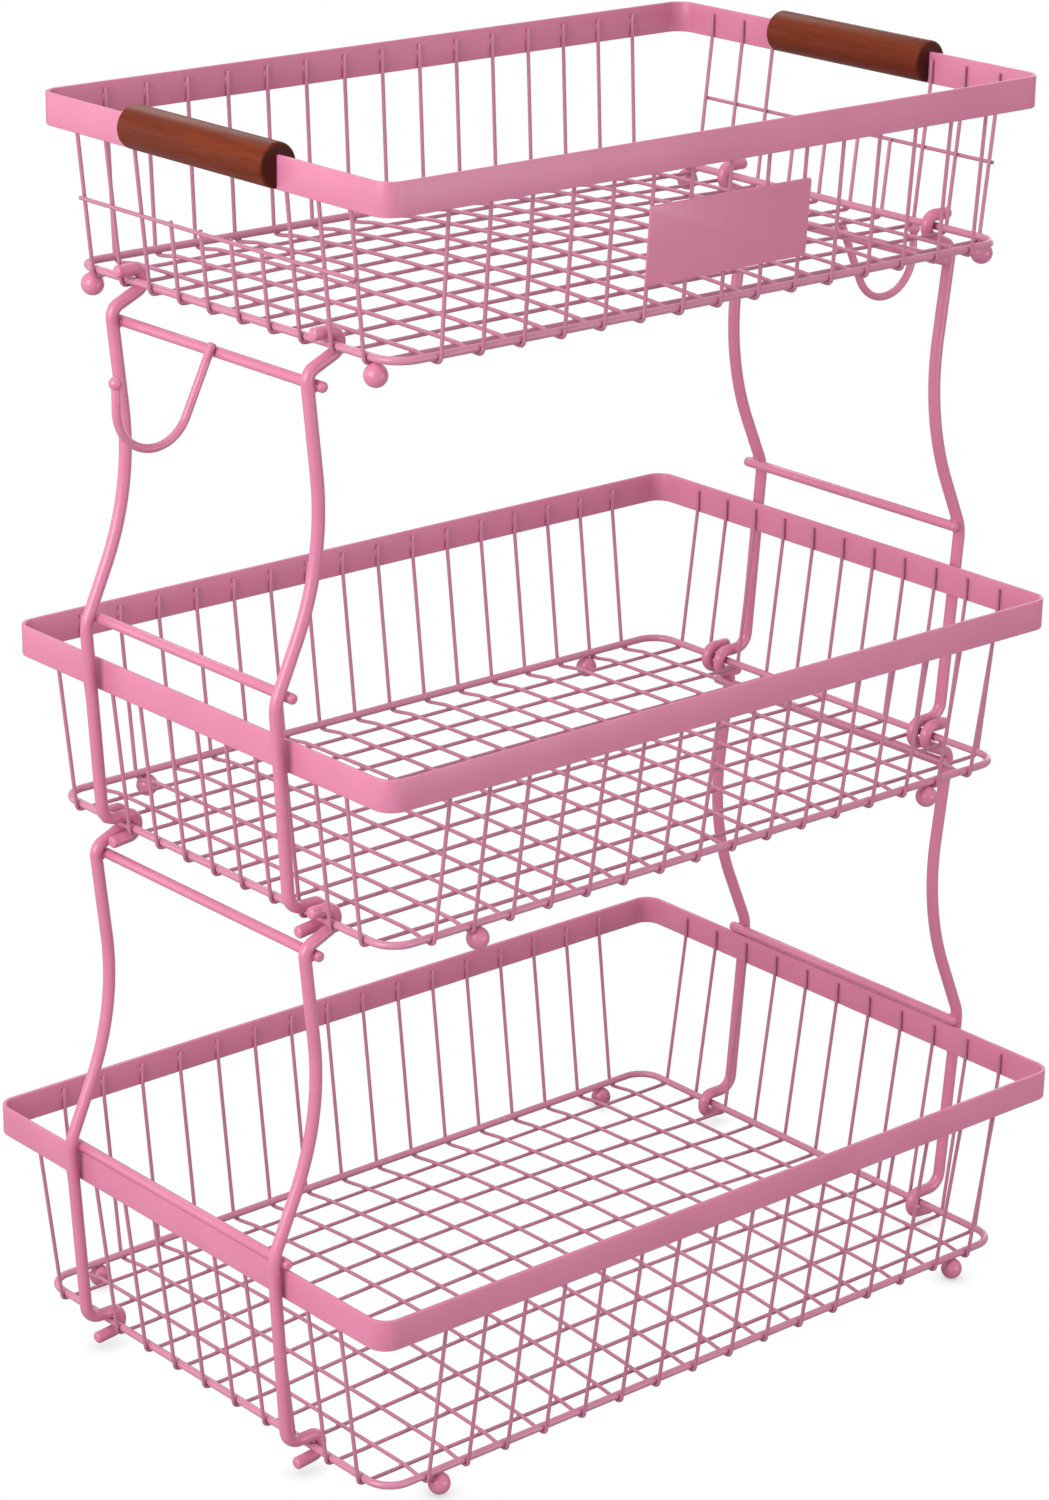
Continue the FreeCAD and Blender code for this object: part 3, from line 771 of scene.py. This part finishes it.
def slotted_dowel():
    """The left dowel: a turned bar with rounded ends, its slot cut out by a block as wide as the saw."""
    low, high = (Vector(corner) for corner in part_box("left_handle"))
    centre = (low + high) / 2
    radius = (high.x - low.x) / 2
    centre.z = high.z - radius
    length = high.y - low.y
    round_over = 0.0016
    saw_width = 0.0021
    spare = 0.004
    bpy.ops.object.select_all(action="DESELECT")
    bpy.ops.mesh.primitive_cylinder_add(vertices=64, radius=radius, depth=length, location=centre,
                                        rotation=(math.pi / 2, 0, 0))
    dowel = bpy.context.object
    dowel.name = "left_handle_dowel"
    bpy.ops.object.transform_apply(location=True, rotation=True, scale=True)
    bpy.ops.object.mode_set(mode="EDIT")
    bpy.ops.mesh.select_mode(type="EDGE")
    bpy.ops.mesh.select_all(action="DESELECT")
    bpy.ops.object.mode_set(mode="OBJECT")
    for edge in dowel.data.edges:
        ends = [dowel.data.vertices[index].co.y for index in edge.vertices]
        edge.select = abs(ends[0] - ends[1]) < length / 2
    bpy.ops.object.mode_set(mode="EDIT")
    bpy.ops.mesh.bevel(offset=round_over, segments=6, affect="EDGES")
    bpy.ops.object.mode_set(mode="OBJECT")
    slot_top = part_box("top_rim")[1][2] + weld_gap
    slot_depth = slot_top - low.z + spare
    bpy.ops.mesh.primitive_cube_add(size=1, location=(centre.x, 0, slot_top - slot_depth / 2))
    saw = bpy.context.object
    bpy.ops.object.mode_set(mode="EDIT")
    bpy.ops.transform.resize(value=(saw_width, length + 2 * spare, slot_depth), center_override=saw.location)
    bpy.ops.object.mode_set(mode="OBJECT")
    cut = dowel.modifiers.new("slot", "BOOLEAN")
    cut.object = saw
    cut.operation = "DIFFERENCE"
    cut.solver = "EXACT"
    apply_modifiers(dowel)
    bpy.data.objects.remove(saw)
    bpy.ops.object.select_all(action="DESELECT")
    dowel.select_set(True)
    bpy.ops.object.shade_smooth_by_angle(angle=math.radians(35))
    return dowel


stained_dowel = wood_material()
left_dowel = slotted_dowel()
right_dowel = another(left_dowel, "right_handle_dowel", mirrored=True)
fix(left_dowel, stained_dowel, "stained_wood", "top_basket", "left_handle")
fix(right_dowel, stained_dowel, "stained_wood", "top_basket", "right_handle")


# Studio: a pale seamless floor that the camera sees as an even white glow with a painted contact shadow near
# what stands on it, and that lights the stand as a mid grey; a large soft key from the left, weaker soft
# boxes above, in front and behind, and a bright even surround, with the camera at the height and distance of
# the picture.
bpy.ops.mesh.primitive_plane_add(size=14, location=(0, 0, 0))
floor = bpy.context.object
floor.name = "studio_floor"
floor_paint = bpy.data.materials.new("studio_white")
floor_paint.use_nodes = True
floor_nodes, floor_links = floor_paint.node_tree.nodes, floor_paint.node_tree.links
floor_shader = floor_nodes["Principled BSDF"]
floor_shader.inputs["Base Color"].default_value = (0.42, 0.42, 0.42, 1)
floor_shader.inputs["Roughness"].default_value = 0.9
floor_shader.inputs["Specular IOR Level"].default_value = 0.1
# Painted contact shadow: within 9 mm of anything on the floor, ambient occlusion darkens the white glow the
# camera sees, down to 0.55 of full strength.
floor_painted_shadow = floor_nodes.new("ShaderNodeAmbientOcclusion")
floor_painted_shadow.samples = 8
floor_painted_shadow.inputs["Distance"].default_value = 0.009
floor_shadow_depth = floor_nodes.new("ShaderNodeMapRange")
floor_shadow_depth.inputs["To Min"].default_value = 0.55
floor_shadow_depth.inputs["To Max"].default_value = 1.0
floor_glow = floor_nodes.new("ShaderNodeEmission")
floor_seen = floor_nodes.new("ShaderNodeLightPath")
floor_pick = floor_nodes.new("ShaderNodeMixShader")
floor_links.new(floor_painted_shadow.outputs["AO"], floor_shadow_depth.inputs["Value"])
floor_links.new(floor_shadow_depth.outputs["Result"], floor_glow.inputs["Strength"])
floor_links.new(floor_seen.outputs["Is Camera Ray"], floor_pick.inputs["Fac"])
floor_links.new(floor_shader.outputs["BSDF"], floor_pick.inputs[1])
floor_links.new(floor_glow.outputs["Emission"], floor_pick.inputs[2])
floor_links.new(floor_pick.outputs["Shader"], floor_nodes["Material Output"].inputs["Surface"])
floor.data.materials.append(floor_paint)

world = bpy.data.worlds.new("studio_surround")
bpy.context.scene.world = world
world.use_nodes = True
world_nodes, world_links = world.node_tree.nodes, world.node_tree.links
world_nodes["Background"].inputs["Color"].default_value = (1, 1, 1, 1)
world_seen = world_nodes.new("ShaderNodeLightPath")
world_tone = world_nodes.new("ShaderNodeMapRange")
world_tone.inputs["To Min"].default_value = 0.6
world_tone.inputs["To Max"].default_value = 1.0
world_links.new(world_seen.outputs["Is Camera Ray"], world_tone.inputs["Value"])
world_links.new(world_tone.outputs["Result"], world_nodes["Background"].inputs["Strength"])


def soft_box(name, place, aim, size, power):
    """A lamp with a broad soft face, turned to what it lights."""
    lamp = bpy.data.lights.new(name, "AREA")
    lamp.shape = "RECTANGLE"
    lamp.size, lamp.size_y = size
    lamp.energy = power
    holder = bpy.data.objects.new(name, lamp)
    bpy.context.scene.collection.objects.link(holder)
    holder.location = place
    holder.rotation_euler = (Vector(aim) - Vector(place)).to_track_quat("-Z", "Y").to_euler()


soft_box("key_left", place=(-2.1, -0.2, 1.2), aim=(0, 0, 0.3), size=(1.4, 1.4), power=41)
soft_box("top_light", place=(-0.2, 0.1, 2.2), aim=(0, 0, 0.3), size=(1.6, 1.6), power=8.5)
soft_box("front_fill", place=(0.8, -2.2, 0.2), aim=(0, 0, 0.1), size=(1.4, 1.2), power=20.5)
soft_box("back_left", place=(-1.3, 1.7, 0.5), aim=(0, 0, 0.3), size=(1.2, 1.0), power=4)
soft_box("back_top", place=(1.0, 2.2, 2.0), aim=(0, 0, 0.5), size=(1.2, 0.8), power=8)
soft_box("back_right", place=(2.2, 1.0, 0.7), aim=(0, 0, 0.3), size=(1.4, 1.2), power=10)

yaw, pitch, roll = (math.radians(angle) for angle in (41.023, 21.596, 0.886))
forward = Vector((math.sin(yaw) * math.cos(pitch), math.cos(yaw) * math.cos(pitch), -math.sin(pitch)))
level = Vector((math.cos(yaw), -math.sin(yaw), 0))
upward = level.cross(forward)
right = level * math.cos(roll) + upward * math.sin(roll)
up = upward * math.cos(roll) - level * math.sin(roll)
view = bpy.data.cameras.new("picture_view")
view.sensor_width = 36
view.lens = 98.75
view.shift_x = 0.0166
view.shift_y = 0.07635
camera = bpy.data.objects.new("picture_view", view)
bpy.context.scene.collection.objects.link(camera)
camera_place = Matrix.Translation((-1.25395, -1.41439, 0.97838))
camera.matrix_world = camera_place @ Matrix((right, up, -forward)).transposed().to_4x4()
bpy.context.scene.camera = camera
bpy.context.scene.view_settings.view_transform = "Standard"
